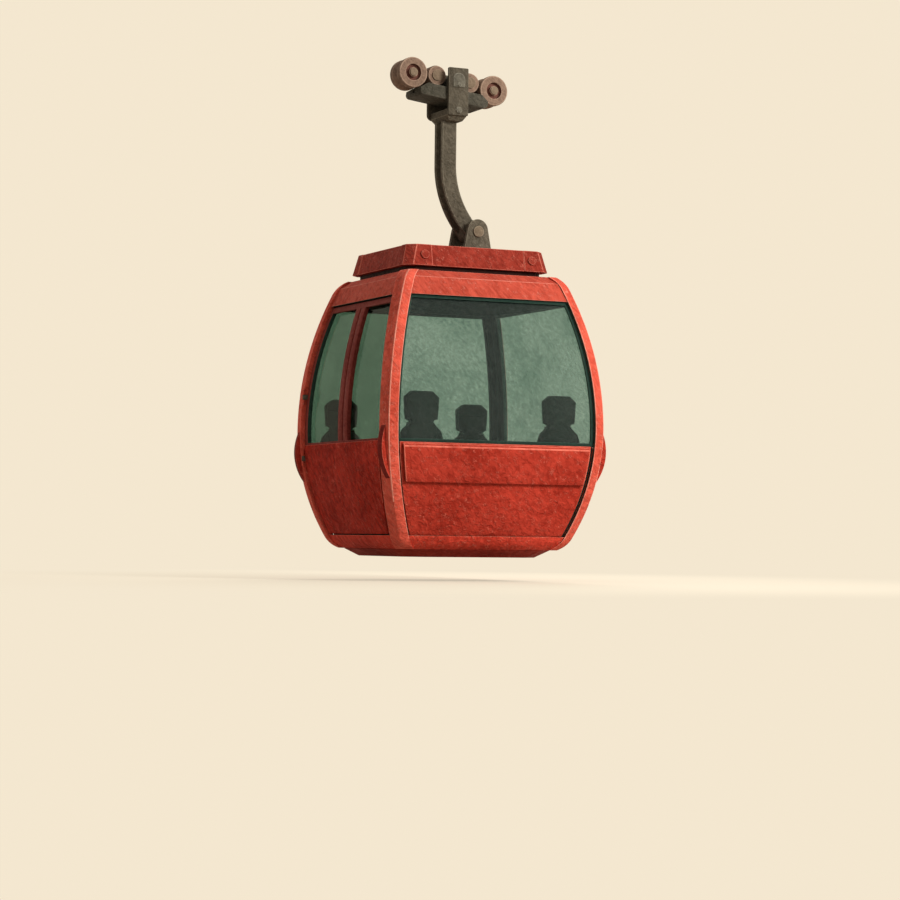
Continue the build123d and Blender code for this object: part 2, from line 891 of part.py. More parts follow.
def sheave(x, z):
    """A thick wheel with a rope groove of flat floor and slanted flanks, and faces sunk round its hub."""
    half = sheave_half_width
    rope = rope_radius + sheave_groove_play
    floor_radius = axle_rise - rope
    floor_half = rope * math.tan(math.radians(22.5))
    mouth_half = floor_half + sheave_radius - floor_radius + sheave_groove_flare
    bore = axle_radius + axle_play
    face = half - sheave_recess_depth
    outer = sheave_radius
    edge = sheave_edge
    front_side = [
        (bore, half),
        (sheave_hub_radius, half),
        (sheave_hub_radius, face),
        (sheave_recess_radius, face),
        (sheave_recess_radius, half),
        (outer - edge, half),
        (outer, half - edge),
        (outer, mouth_half),
        (floor_radius, floor_half),
    ]
    rear_side = [(radius, -y) for radius, y in reversed(front_side)]
    return turned([Polyline(front_side + rear_side, close=True)], x, z)


def roller(x, z):
    """A plain rail roller, slightly crowned at its edges."""
    half = roller_half_width
    bore = axle_radius + axle_play
    outline = Polyline(
        (bore, -half),
        (roller_radius - roller_crown, -half),
        (roller_radius, -half + 3 * roller_crown),
        (roller_radius, half - 3 * roller_crown),
        (roller_radius - roller_crown, half),
        (bore, half),
        close=True,
    )
    return turned([outline], x, z)


# Assembly

def cabin_parts():
    parts = {
        "floor_frame": floor_frame(),
        "skid_pan": skid_pan(),
        "roof_frame": roof_frame(),
        "roof_plinth": roof_plinth(),
        "roof_cap": roof_cap(),
        "clevis": clevis(),
        "clevis_pin": clevis_pin(),
    }
    sides = {"front": front, "right": right, "rear": rear}
    for name, facing in sides.items():
        parts[f"panel_{name}"] = wall_panel(facing)
        parts[f"lining_{name}"] = wall_lining(facing)
        parts[f"window_frame_{name}"] = window_frame(facing)
        parts[f"window_{name}"] = window_glass(facing)
    for name, facing in (("front", front), ("rear", rear)):
        parts[f"band_{name}"] = band(facing)
    post = corner_post()
    lens = bumper()
    for name, (x_side, y_side) in corners.items():
        parts[f"post_{name}"] = mirrored(post, x_side, y_side)
        parts[f"bumper_{name}"] = mirrored(lens, x_side, y_side)
        parts[f"seat_cushion_{name}"] = mirrored(cushion(), x_side, y_side)
        parts[f"seat_back_{name}"] = mirrored(seat_back(), x_side, y_side)
    parts["bench_front"] = mirrored(bench(), 1, -1)
    parts["bench_rear"] = bench()
    for name, z in (("lower", hinge_low_z), ("upper", hinge_high_z)):
        parts["post_rear_left"] = parts["post_rear_left"] - hinge_pocket(z)
        parts[f"post_hinge_{name}"] = post_hinge(z)
    return parts


def door_parts():
    return {
        "door_skin": door_skin(),
        "door_frame": door_frame(),
        "door_hinge_lower": door_hinge(hinge_low_z),
        "door_hinge_upper": door_hinge(hinge_high_z),
        "door_window_front": mirrored(door_glass(), 1, -1),
        "door_window_rear": door_glass(),
    }


def hanger_parts():
    return {
        "hanger_arm": hanger_arm(),
        "head_block": head_block(),
        "head_plate_front": mirrored(head_plate(head_half_width, head_corner), 1, -1),
        "head_plate_rear": head_plate(head_half_width + head_rear_widening, head_rear_foot),
    }


def carriage_parts():
    parts = {
        "grip_body": grip_body(),
        "grip_jaw": grip_jaw(),
        "side_plate": side_plate(),
        "pivot_shaft": pivot_shaft(),
    }
    for name, (x, z) in wheel_places().items():
        parts[name] = sheave(x, z) if name.startswith("sheave") else roller(x, z)
    return parts


def export_all(parts, place):
    for name, shape in parts.items():
        placed = place * shape
        placed.label = name
        export_step(placed, f"parts/{name}.step")


slope = math.radians(rope_slope)
cabin_x = axle_rise * math.sin(slope) - balance_x
cabin_place = Pos(cabin_x, 0, -rope_height)
carriage_place = Rot(0, rope_slope, 0)

for group in (cabin_parts(), door_parts(), hanger_parts()):
    export_all(group, cabin_place)
export_all(carriage_parts(), carriage_place)
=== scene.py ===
import json
import math

import bpy
from mathutils import Matrix, Vector

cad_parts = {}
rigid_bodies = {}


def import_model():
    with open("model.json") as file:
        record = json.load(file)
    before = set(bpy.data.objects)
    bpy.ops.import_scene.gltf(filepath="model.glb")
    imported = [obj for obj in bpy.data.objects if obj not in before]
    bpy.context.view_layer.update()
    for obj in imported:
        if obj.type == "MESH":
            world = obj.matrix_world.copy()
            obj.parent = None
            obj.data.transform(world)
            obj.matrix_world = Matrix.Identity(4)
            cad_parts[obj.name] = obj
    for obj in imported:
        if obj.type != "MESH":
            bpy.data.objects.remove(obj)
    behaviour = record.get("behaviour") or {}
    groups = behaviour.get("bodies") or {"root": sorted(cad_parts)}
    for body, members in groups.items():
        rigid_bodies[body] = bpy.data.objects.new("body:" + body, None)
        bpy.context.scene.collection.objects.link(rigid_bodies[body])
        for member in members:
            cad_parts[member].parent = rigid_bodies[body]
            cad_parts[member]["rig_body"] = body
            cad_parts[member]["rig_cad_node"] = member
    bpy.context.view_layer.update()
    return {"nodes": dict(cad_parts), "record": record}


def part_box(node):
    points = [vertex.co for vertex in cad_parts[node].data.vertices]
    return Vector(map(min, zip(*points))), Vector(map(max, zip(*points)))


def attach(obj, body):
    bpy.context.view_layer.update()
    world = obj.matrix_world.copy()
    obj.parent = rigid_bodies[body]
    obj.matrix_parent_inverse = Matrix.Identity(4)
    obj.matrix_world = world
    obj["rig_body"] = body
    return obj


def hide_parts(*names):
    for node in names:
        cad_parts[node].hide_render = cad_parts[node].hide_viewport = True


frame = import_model()
nodes = frame["nodes"]
bodies = frame["record"]["behaviour"]["bodies"]
bodyOf = {node: body for body, members in bodies.items() for node in members}
slotOf = {part["node"]: part["material_slot"] for part in frame["record"]["subparts"]}
corners = ("front_left", "front_right", "rear_left", "rear_right")
up = Vector((0.0, 0.0, 1.0))
print("frame loaded,", len(nodes), "nodes")


# Places that the rest of the script works from, all read from the frame

roofLow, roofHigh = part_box("roof_cap")
cabinX = (roofLow.x + roofHigh.x) / 2
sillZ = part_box("floor_frame")[0].z


# Shader node helpers

def feed(tree, socket, value):
    if isinstance(value, bpy.types.NodeSocket):
        tree.links.new(value, socket)
    else:
        socket.default_value = value


def addNode(tree, kind, inputs=None, **settings):
    node = tree.nodes.new(kind)
    for name, value in settings.items():
        setattr(node, name, value)
    for name, value in (inputs or {}).items():
        feed(tree, node.inputs[name], value)
    return node


def addMath(tree, operation, first, second=0.0, clamp=False):
    node = addNode(tree, "ShaderNodeMath", {0: first, 1: second}, operation=operation, use_clamp=clamp)
    return node.outputs[0]


def addSum(tree, *terms):
    parts = [addMath(tree, "MULTIPLY", value, share) for value, share in terms]
    total = parts[0]
    for part in parts[1:]:
        total = addMath(tree, "ADD", total, part)
    return total


def addRange(tree, value, low, high, outLow=0.0, outHigh=1.0):
    inputs = {"Value": value, "From Min": low, "From Max": high, "To Min": outLow, "To Max": outHigh}
    return addNode(tree, "ShaderNodeMapRange", inputs, interpolation_type="SMOOTHSTEP").outputs["Result"]


def addMix(tree, factor, first, second):
    node = addNode(tree, "ShaderNodeMix", data_type="RGBA")
    for index, value in ((0, factor), (6, first), (7, second)):  # a mix node's factor and its two colours
        feed(tree, node.inputs[index], value)
    return node.outputs[2]


def addNoise(tree, place, scale, detail, roughness=0.5, distortion=0.0):
    return addNode(tree, "ShaderNodeTexNoise", {
        "Vector": place, "Scale": scale, "Detail": detail, "Roughness": roughness, "Distortion": distortion,
    }).outputs["Fac"]


def newGroup(name, inputs, outputs):
    group = bpy.data.node_groups.new(name, "ShaderNodeTree")
    for side, sockets in (("INPUT", inputs), ("OUTPUT", outputs)):
        for label, kind in sockets:
            group.interface.new_socket(name=label, in_out=side, socket_type="NodeSocket" + kind)
    return group, group.nodes.new("NodeGroupInput").outputs, group.nodes.new("NodeGroupOutput").inputs


# The pressed, fibrous grain that every painted surface carries, with its scales as shares of the finish's own

pressedFibre = {
    "stretch": (2.8, 1.0, 1.0), "turn": (0.0, 0.66, -0.70),
    "fineScale": 4.3, "threadScale": 1.1, "breakScale": 0.9, "blotchesPerMetre": 2.2,
    "threadLevel": 0.5, "threadWidth": 0.040, "threadBreak": (0.5, 0.6),
    "reliefHeight": 0.75, "fineHeight": 0.3, "threadHeight": 0.12,
    "reliefTone": 0.6, "blotchTone": 0.4, "toneRange": (0.3, 0.7),
    "reliefNoise": (4.0, 0.6, 0.7), "threadNoise": (1.5, 0.5, 1.6),  # detail, roughness, distortion
    "fineNoise": (3.0, 0.55), "blotchNoise": (3.0, 0.55), "breakNoise": (1.0,),
}


def makePressedFibre():
    look = pressedFibre
    inputs = [("Vector", "Vector"), ("Scale", "Float")]
    outputs = [("Height", "Float"), ("Tone", "Float"), ("Threads", "Float")]
    tree, given, out = newGroup("pressedFibre", inputs, outputs)
    place, scale = given["Vector"], given["Scale"]
    turned = addNode(tree, "ShaderNodeMapping", {
        "Vector": place, "Rotation": look["turn"], "Scale": look["stretch"],
    }, vector_type="TEXTURE").outputs["Vector"]
    fineScale, threadScale, breakScale = (
        addMath(tree, "MULTIPLY", scale, look[share]) for share in ("fineScale", "threadScale", "breakScale")
    )
    relief = addNoise(tree, turned, scale, *look["reliefNoise"])
    fine = addNoise(tree, place, fineScale, *look["fineNoise"])
    lines = addNoise(tree, turned, threadScale, *look["threadNoise"])
    broken = addNoise(tree, place, breakScale, *look["breakNoise"])
    blotch = addNoise(tree, place, look["blotchesPerMetre"], *look["blotchNoise"])
    offLine = addMath(tree, "ABSOLUTE", addMath(tree, "SUBTRACT", lines, look["threadLevel"]))
    onLine = addRange(tree, offLine, 0.0, look["threadWidth"], 1.0, 0.0)
    threads = addMath(tree, "MULTIPLY", onLine, addRange(tree, broken, *look["threadBreak"]))
    height = addSum(
        tree, (relief, look["reliefHeight"]), (fine, look["fineHeight"]), (threads, look["threadHeight"]),
    )
    tone = addSum(tree, (relief, look["reliefTone"]), (blotch, look["blotchTone"]))
    tree.links.new(height, out["Height"])
    tree.links.new(addRange(tree, tone, *look["toneRange"]), out["Tone"])
    tree.links.new(threads, out["Threads"])
    return tree


fibreGroup = makePressedFibre()


# Edges: each dressed piece marks its bevels that face up or sideways with an attribute for a painted
# highlight, which is broken up by noise

edgeHighlight = {"patchesPerMetre": 9.0, "patchNoise": (4.0, 0.65), "patchRange": (0.25, 0.6), "least": 0.35}


def makeEdgeHighlight():
    inputs = [("Vector", "Vector"), ("Mark", "Float")]
    tree, given, out = newGroup("edgeHighlight", inputs, [("Highlight", "Float")])
    patchy = addNoise(tree, given["Vector"], edgeHighlight["patchesPerMetre"], *edgeHighlight["patchNoise"])
    strength = addRange(tree, patchy, *edgeHighlight["patchRange"], edgeHighlight["least"], 1.0)
    tree.links.new(addMath(tree, "MULTIPLY", given["Mark"], strength), out["Highlight"])
    return tree


edgeGroup = makeEdgeHighlight()


# What the materials share

def startMaterial(name):
    material = bpy.data.materials.new(name)
    material.use_nodes = True
    tree = material.node_tree
    place = addNode(tree, "ShaderNodeTexCoord").outputs["Object"]
    return material, tree, tree.nodes["Principled BSDF"], place


def addGrain(tree, place, scale):
    return addNode(tree, "ShaderNodeGroup", {"Vector": place, "Scale": scale}, node_tree=fibreGroup).outputs


def linkRoughness(tree, shader, tone, look):
    low, high = look["rough"]
    tree.links.new(addRange(tree, tone, 0.0, 1.0, high, low), shader.inputs["Roughness"])


def linkBump(tree, shader, height, look):
    inputs = {"Strength": look["bump"], "Distance": look["depth"], "Height": height}
    tree.links.new(addNode(tree, "ShaderNodeBump", inputs).outputs["Normal"], shader.inputs["Normal"])


# Paints and metals: colours from the hollows to the painted highlight on the upper edges, roughness range,
# grains per metre, relief

finishes = {
    "cabin_red": {
        "dark": (0.290, 0.0200, 0.0100), "base": (0.585, 0.0560, 0.0310), "edge": (0.84, 0.190, 0.125),
        "rough": (0.66, 0.86), "scale": 27.0, "bump": 1.0, "depth": 0.0240,
    },
    "cabin_red_light": {
        "dark": (0.440, 0.0520, 0.0290), "base": (0.790, 0.1210, 0.0720), "edge": (0.93, 0.300, 0.215),
        "rough": (0.66, 0.86), "scale": 27.0, "bump": 1.0, "depth": 0.0220,
    },
    "end_red_dark": {
        "dark": (0.240, 0.0105, 0.0040), "base": (0.640, 0.0350, 0.0130), "edge": (0.88, 0.190, 0.120),
        "rough": (0.66, 0.86), "scale": 27.0, "bump": 1.0, "depth": 0.0360,
    },
    # A darker red for the roof cap: partly the cap's own darker paint, partly painted shade against the lamp
    # on its upward slope
    "cap_red": {
        "dark": (0.190, 0.0190, 0.0110), "base": (0.410, 0.0530, 0.0320), "edge": (0.70, 0.190, 0.130),
        "rough": (0.66, 0.86), "scale": 27.0, "bump": 1.0, "depth": 0.0240,
    },
    # A darker red for the bumpers' faces turned along x: painted shade
    "bumper_end_shade": {
        "dark": (0.130, 0.0080, 0.0045), "base": (0.230, 0.0160, 0.0090), "edge": (0.36, 0.050, 0.032),
        "rough": (0.66, 0.86), "scale": 27.0, "bump": 1.0, "depth": 0.0160,
    },
    "bolt_green": {
        "dark": (0.066, 0.059, 0.043), "base": (0.160, 0.142, 0.106), "edge": (0.29, 0.265, 0.205),
        "rough": (0.60, 0.80), "scale": 60.0, "bump": 1.0, "depth": 0.0060,
    },
    # The skid pan's darker red: painted shade on a piece under the cabin that faces down
    "pan_red_shade": {
        "dark": (0.200, 0.0150, 0.0080), "base": (0.340, 0.0330, 0.0180), "edge": (0.42, 0.070, 0.045),
        "rough": (0.70, 0.88), "scale": 27.0, "bump": 0.9, "depth": 0.0160,
    },
    "door_trim": {
        "dark": (0.130, 0.0180, 0.0130), "base": (0.240, 0.0380, 0.0280), "edge": (0.34, 0.070, 0.052),
        "rough": (0.62, 0.80), "scale": 52.0, "bump": 0.7, "depth": 0.0030,
    },
    "inner_trim": {
        "dark": (0.013, 0.032, 0.023), "base": (0.036, 0.074, 0.054), "edge": (0.070, 0.115, 0.090),
        "rough": (0.60, 0.80), "scale": 42.0, "bump": 0.9, "depth": 0.0080,
    },
    "window_frame": {
        "dark": (0.010, 0.024, 0.018), "base": (0.022, 0.046, 0.035), "edge": (0.045, 0.080, 0.063),
        "rough": (0.60, 0.78), "scale": 60.0, "bump": 0.5, "depth": 0.0020,
    },
    # Near-black for the plinth under the cap: partly its own dark plate, partly painted shade of the gap
    # under the cap
    "roof_dark": {
        "dark": (0.014, 0.007, 0.006), "base": (0.032, 0.013, 0.010), "edge": (0.060, 0.024, 0.018),
        "rough": (0.66, 0.84), "scale": 45.0, "bump": 0.6, "depth": 0.0030,
    },
    "hanger_metal": {
        "dark": (0.070, 0.058, 0.040), "base": (0.178, 0.149, 0.105), "edge": (0.29, 0.250, 0.182),
        "rough": (0.60, 0.82), "scale": 42.0, "bump": 1.0, "depth": 0.0260,
    },
    "carriage_green": {
        "dark": (0.043, 0.039, 0.028), "base": (0.118, 0.105, 0.078), "edge": (0.22, 0.196, 0.146),
        "rough": (0.60, 0.82), "scale": 42.0, "bump": 1.0, "depth": 0.0260,
    },
    "wheel_tan": {
        "dark": (0.165, 0.104, 0.071), "base": (0.320, 0.206, 0.143), "edge": (0.43, 0.290, 0.205),
        "rough": (0.58, 0.78), "scale": 50.0, "bump": 1.0, "depth": 0.0090,
    },
    "wheel_recess": {
        "dark": (0.105, 0.042, 0.030), "base": (0.190, 0.082, 0.058), "edge": (0.28, 0.140, 0.100),
        "rough": (0.62, 0.82), "scale": 60.0, "bump": 0.8, "depth": 0.0030,
    },
    "axle_tan": {
        "dark": (0.150, 0.105, 0.068), "base": (0.255, 0.182, 0.120), "edge": (0.37, 0.280, 0.190),
        "rough": (0.58, 0.78), "scale": 60.0, "bump": 0.9, "depth": 0.0035,
    },
    "pin_metal": {
        "dark": (0.150, 0.112, 0.072), "base": (0.250, 0.190, 0.125), "edge": (0.36, 0.285, 0.195),
        "rough": (0.52, 0.72), "scale": 60.0, "bump": 0.8, "depth": 0.0030,
    },
}


# Lighter and darker copies of one paint or metal for single parts: painted light where the share is above 1
# (posts, sill, lower panels, clevis), painted shade where it is below 1 (header, head plates)
paintedLightCopies = {
    "post_red_lit": ("cabin_red_light", 1.16), "header_red_shade": ("cabin_red_light", 0.84),
    "sill_red_lit": ("cabin_red", 1.52), "panel_red_lit": ("cabin_red", 1.12),
    "plate_metal_shade": ("hanger_metal", 0.80), "clevis_metal_lit": ("hanger_metal", 1.20),
}
brightest = 0.95


def paintedLightCopy(name, share):
    look = dict(finishes[name])
    for tone in ("dark", "base", "edge"):
        look[tone] = tuple(min(brightest, channel * share) for channel in finishes[name][tone])
    return look


for name, (source, share) in paintedLightCopies.items():
    finishes[name] = paintedLightCopy(source, share)

paint = {"threadLift": 0.55, "specular": 0.12}


def makeFinish(name, look):
    material, tree, shader, place = startMaterial(name)
    grain = addGrain(tree, place, look["scale"])
    mark = addNode(tree, "ShaderNodeAttribute", attribute_name="edge").outputs["Fac"]
    highlightNode = addNode(tree, "ShaderNodeGroup", {"Vector": place, "Mark": mark}, node_tree=edgeGroup)
    dark, base, edge = ((*look[tone], 1.0) for tone in ("dark", "base", "edge"))
    colour = addMix(tree, grain["Tone"], dark, base)
    colour = addMix(tree, addMath(tree, "MULTIPLY", grain["Threads"], paint["threadLift"]), colour, edge)
    # painted highlight: the marked upper edges are mixed towards the lighter edge colour
    colour = addMix(tree, highlightNode.outputs["Highlight"], colour, edge)
    tree.links.new(colour, shader.inputs["Base Color"])
    linkRoughness(tree, shader, grain["Tone"], look)
    linkBump(tree, shader, grain["Height"], look)
    shader.inputs["Specular IOR Level"].default_value = paint["specular"]
    return material


materials = {name: makeFinish(name, look) for name, look in finishes.items()}


# Tinted glass

glass = {"grain": 54.0, "threads": 0.4, "rough": (0.0, 0.014), "through": 0.965}
windowGlass = {"tint": (0.55, 0.67, 0.64), "deep": (0.28, 0.41, 0.37), "ior": 1.22}
# The door panes: a darker tint than the side windows, painted shade for the end of the cabin that lies in
# shade, and a lower ior that weakens their reflection
doorGlassShade = {"tint": (0.190, 0.300, 0.240), "deep": (0.120, 0.215, 0.165), "ior": 1.09}


def makeGlass(name, look):
    material, tree, shader, place = startMaterial(name)
    grain = addGrain(tree, place, glass["grain"])
    threads = addMath(tree, "MULTIPLY", grain["Threads"], glass["threads"])
    tone = addMath(tree, "ADD", grain["Tone"], threads, clamp=True)
    colour = addMix(tree, tone, (*look["deep"], 1.0), (*look["tint"], 1.0))
    tree.links.new(colour, shader.inputs["Base Color"])
    linkRoughness(tree, shader, grain["Tone"], glass)
    shader.inputs["Transmission Weight"].default_value = glass["through"]
    shader.inputs["IOR"].default_value = look["ior"]
    return material


materials["window_tint"] = makeGlass("window_tint", windowGlass)
materials["door_tint_shade"] = makeGlass("door_tint_shade", doorGlassShade)


# Seat covers: pebbled leather over the same fibre

leather = {
    "fibre": 30.0, "fibreHeight": 2.0, "pebbleRange": (0.02, 0.22), "creaseTo": 0.6, "creaseMost": 0.35,
    "specular": 0.3,
}
seatCover = {
    "dark": (0.010, 0.026, 0.019), "base": (0.028, 0.056, 0.042), "crease": (0.006, 0.014, 0.010),
    "rough": (0.48, 0.66), "pebbles": 420.0, "bump": 0.5, "depth": 0.0009, "sheen": 0.25,
}
pipingCover = {
    "dark": (0.075, 0.120, 0.092), "base": (0.130, 0.190, 0.150), "crease": (0.05, 0.08, 0.06),
    "rough": (0.50, 0.68), "pebbles": 600.0, "bump": 0.4, "depth": 0.0006, "sheen": 0.2,
}


def makeLeather(name, look):
    material, tree, shader, place = startMaterial(name)
    fibre = addGrain(tree, place, leather["fibre"])
    inputs = {"Vector": place, "Scale": look["pebbles"]}
    cells = addNode(tree, "ShaderNodeTexVoronoi", inputs, feature="DISTANCE_TO_EDGE").outputs["Distance"]
    pebble = addRange(tree, cells, *leather["pebbleRange"])
    # painted shade in the creases: between the pebbles the colour is mixed towards the darker crease colour
    between = addRange(tree, pebble, 0.0, leather["creaseTo"], leather["creaseMost"], 0.0)
    colour = addMix(tree, fibre["Tone"], (*look["dark"], 1.0), (*look["base"], 1.0))
    colour = addMix(tree, between, colour, (*look["crease"], 1.0))
    tree.links.new(colour, shader.inputs["Base Color"])
    linkRoughness(tree, shader, fibre["Tone"], look)
    fibreHeight = addMath(tree, "MULTIPLY", fibre["Height"], leather["fibreHeight"])
    linkBump(tree, shader, addMath(tree, "ADD", pebble, fibreHeight), look)
    shader.inputs["Specular IOR Level"].default_value = leather["specular"]
    shader.inputs["Sheen Weight"].default_value = look["sheen"]
    return material


materials["seat_soft"] = makeLeather("seat_soft", seatCover)
materials["seat_piping"] = makeLeather("seat_piping", pipingCover)
print("finishes made,", len(materials))


# Dressing a rigid node: a merged copy with bevelled edges, those facing up or sideways painted lighter as a
# highlight

dressing = {
    "mergeDistance": 2e-5, "flatAngle": 0.4, "bevelAngle": 28.0, "bevelSegments": 2, "smoothAngle": 25.0,
    "newSmoothAngle": 30.0, "highlightAbove": -0.35,
}


def deselectAll():
    bpy.ops.object.select_all(action="DESELECT")


def pick(piece):
    deselectAll()
    piece.select_set(True)
    bpy.context.view_layer.objects.active = piece


def applyModifier(piece, kind, **settings):
    pick(piece)
    modifier = piece.modifiers.new(kind.lower(), kind)
    for name, value in settings.items():
        setattr(modifier, name, value)
    bpy.ops.object.modifier_apply(modifier=modifier.name)


def copyNode(node, name):
    pick(nodes[node])
    bpy.ops.object.duplicate()
    piece = bpy.context.active_object
    piece.name = name
    del piece["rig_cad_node"], piece["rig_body"]
    piece.data.materials.clear()
    bpy.ops.object.mode_set(mode="EDIT")
    bpy.ops.mesh.select_all(action="SELECT")
    bpy.ops.mesh.remove_doubles(threshold=dressing["mergeDistance"])
    bpy.ops.mesh.dissolve_limited(angle_limit=math.radians(dressing["flatAngle"]))
    bpy.ops.object.mode_set(mode="OBJECT")
    bpy.ops.mesh.customdata_custom_splitnormals_clear()
    return piece


def bevelEdges(piece, width):
    # the bevel's own faces come out on the second material, which tells them apart
    applyModifier(
        piece, "BEVEL", width=width, segments=dressing["bevelSegments"], limit_method="ANGLE",
        angle_limit=math.radians(dressing["bevelAngle"]), material=1, harden_normals=False,
        use_clamp_overlap=True,
    )
    mark = piece.data.attributes.new("edge", "FLOAT", "CORNER")
    for polygon in piece.data.polygons:
        if polygon.material_index == 1:
            # painted highlight: only bevel faces turned up or sideways are marked, the ones facing down stay
            # plain
            highlit = 1.0 if polygon.normal.z > dressing["highlightAbove"] else 0.0
            for loop in polygon.loop_indices:
                mark.data[loop].value = highlit
            polygon.material_index = 0


def paintPiece(piece, finish, bevel):
    piece.data.materials.clear()
    piece.data.materials.append(materials[finish])
    piece.data.materials.append(materials[finish])
    if bevel:
        bevelEdges(piece, bevel)
    piece.data.materials.pop(index=1)


def smoothPiece(piece, angle):
    pick(piece)
    bpy.ops.object.shade_smooth_by_angle(angle=math.radians(angle))


def dressNode(node, bevel, finish, second):
    piece = copyNode(node, node + "_dressed")
    paintPiece(piece, finish, bevel)
    if second:
        low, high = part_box(node)
        piece.data.materials.append(materials[second["finish"]])
        for polygon in piece.data.polygons:
            if second["test"](polygon.center, polygon.normal, low, high):
                polygon.material_index = 1
    smoothPiece(piece, dressing["smoothAngle"])
    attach(piece, bodyOf[node])
    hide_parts(node)


bevels = {
    "post": 0.007, "roof": 0.006, "floor": 0.006, "panel": 0.004, "band": 0.007, "door": 0.005,
    "window": 0.003, "bumper": 0.006, "skid": 0.006, "clevis": 0.005, "hanger": 0.006, "head": 0.005,
    "grip": 0.005, "side": 0.005, "pivot": 0.004, "sheave": 0.004, "roller": 0.004, "bench": 0.004,
    "lining": 0.002,
}
glassNodes = [node for node in nodes if slotOf[node] == "window_tint"]
softNodes = [node for node in nodes if slotOf[node] == "seat_soft"]


# Tests for the faces of a node that have a second finish, by their centre, normal and the node's box

faceLimits = {
    "fromMiddle": 0.3, "inward": -0.5, "down": -0.3, "up": 0.9, "postEnd": 0.8, "postAskew": 0.2,
    "floorHalf": 0.86, "wheelRim": 0.012, "wheelShare": 0.30, "axleCapY": -0.08, "bumperEnd": 0.55,
    "plateThick": 0.0225,
}


def facesCabin(centre, normal, low, high):
    outward = Vector((centre.x - cabinX, centre.y, 0.0))
    away = outward.length > faceLimits["fromMiddle"]
    return away and normal.dot(outward.normalized()) < faceLimits["inward"]


def facesCabinOrDown(centre, normal, low, high):
    return normal.z < faceLimits["down"] or facesCabin(centre, normal, low, high)


def isPostEnd(centre, normal):
    towards = Vector((cabinX - centre.x, -centre.y, 0.0))
    alongX = abs(towards.x) <= abs(towards.y)
    along = Vector((towards.x, 0.0, 0.0)) if alongX else Vector((0.0, towards.y, 0.0))
    return along.length > 0.0 and normal.dot(along.normalized()) > faceLimits["postEnd"]


def isPostInside(centre, normal, low, high):
    onEndWall = abs(centre.x - cabinX) > abs(centre.y)
    besideDoor = onEndWall and centre.x < cabinX
    square = min(abs(normal.x), abs(normal.y)) < faceLimits["postAskew"]
    if square and not besideDoor and isPostEnd(centre, normal):
        return True
    return facesCabin(centre, normal, low, high) and (abs(normal.x) > abs(normal.y)) == onEndWall


def isWalkedOn(centre, normal, low, high):
    fromMiddle = max(abs(centre.x - cabinX), abs(centre.y))
    return normal.z > faceLimits["up"] and fromMiddle < faceLimits["floorHalf"]


def isWheelRecess(centre, normal, low, high):
    middle = (low + high) / 2
    away = math.hypot(centre.x - middle.x, centre.z - middle.z)
    behindRim = low.y + faceLimits["wheelRim"] < centre.y < middle.y
    return behindRim and away < faceLimits["wheelShare"] * (high.z - low.z)


def isAxleCap(centre, normal, low, high):
    return centre.y < faceLimits["axleCapY"]


# the bumper faces that take the painted shade: those turned outwards along x
def facesAlongX(centre, normal, low, high):
    outward = centre.x - cabinX
    return normal.x * outward > faceLimits["bumperEnd"] * abs(outward)


def standsOnPlate(centre, normal, low, high):
    outer = max(abs(low.y), abs(high.y))
    return abs(centre.y) > outer - faceLimits["plateThick"]


secondFinishes = {
    "post": {"finish": "inner_trim", "test": isPostInside},
    "roof_frame": {"finish": "inner_trim", "test": facesCabinOrDown},
    "floor_frame": {"finish": "inner_trim", "test": isWalkedOn},
    "door_frame": {"finish": "inner_trim", "test": facesCabin},
    "door_skin": {"finish": "inner_trim", "test": facesCabin},
    "sheave": {"finish": "wheel_recess", "test": isWheelRecess},
    "side": {"finish": "axle_tan", "test": isAxleCap},
    "bumper": {"finish": "bumper_end_shade", "test": facesAlongX},
    "head_plate_front": {"finish": "bolt_green", "test": standsOnPlate},
    "head_plate_rear": {"finish": "bolt_green", "test": standsOnPlate},
}
ownFinish = {
    "skid_pan": "pan_red_shade", "roof_cap": "cap_red", "roof_frame": "header_red_shade", "floor_frame": "sill_red_lit",
    "post": "post_red_lit", "bumper": "cabin_red", "panel": "panel_red_lit", "clevis": "clevis_metal_lit",
    "head_plate_front": "plate_metal_shade", "head_plate_rear": "plate_metal_shade", "clevis_pin": "pin_metal",
}

for node in sorted(nodes):
    kind = node.split("_")[0]
    if node in glassNodes:
        nodes[node].data.materials.clear()
        nodes[node].data.materials.append(materials["door_tint_shade" if kind == "door" else "window_tint"])
    elif node not in softNodes:
        finish = ownFinish.get(node) or ownFinish.get(kind) or slotOf[node]
        dressNode(node, bevels[kind], finish, secondFinishes.get(node) or secondFinishes.get(kind))
print("rigid nodes dressed")


# The door's skin laps the stile behind its lock edge

skinLap = 0.008


def lapDoorSkin(piece):
    for vertex in piece.data.vertices:
        if vertex.co.y < 0:
            vertex.co.y -= skinLap


lapDoorSkin(bpy.data.objects["door_skin_dressed"])
print("door skin lapped")


# The cap's corner plates reach further along its long sides, and each has a domed bolt

capPlate = {"end": 0.4594, "reach": 0.0095, "longEnd": 0.402, "minY": 0.50}
capBolt = {
    "x": 0.466, "z": 2.290, "faceY": 0.5492, "lean": math.atan(28.0 / 167.0),  # in by 28 mm over 167 mm
    "radius": 0.034, "height": 0.016, "step": 0.010, "dome": 0.0015, "bevel": 0.0035,
}


def lengthenCapPlates(piece):
    for vertex in piece.data.vertices:
        away = vertex.co.x - cabinX
        onEnd = abs(abs(away) - capPlate["end"]) < capPlate["reach"]
        if onEnd and abs(vertex.co.y) > capPlate["minY"]:
            vertex.co.x -= math.copysign(capPlate["end"] - capPlate["longEnd"], away)


squareOn = 0.9


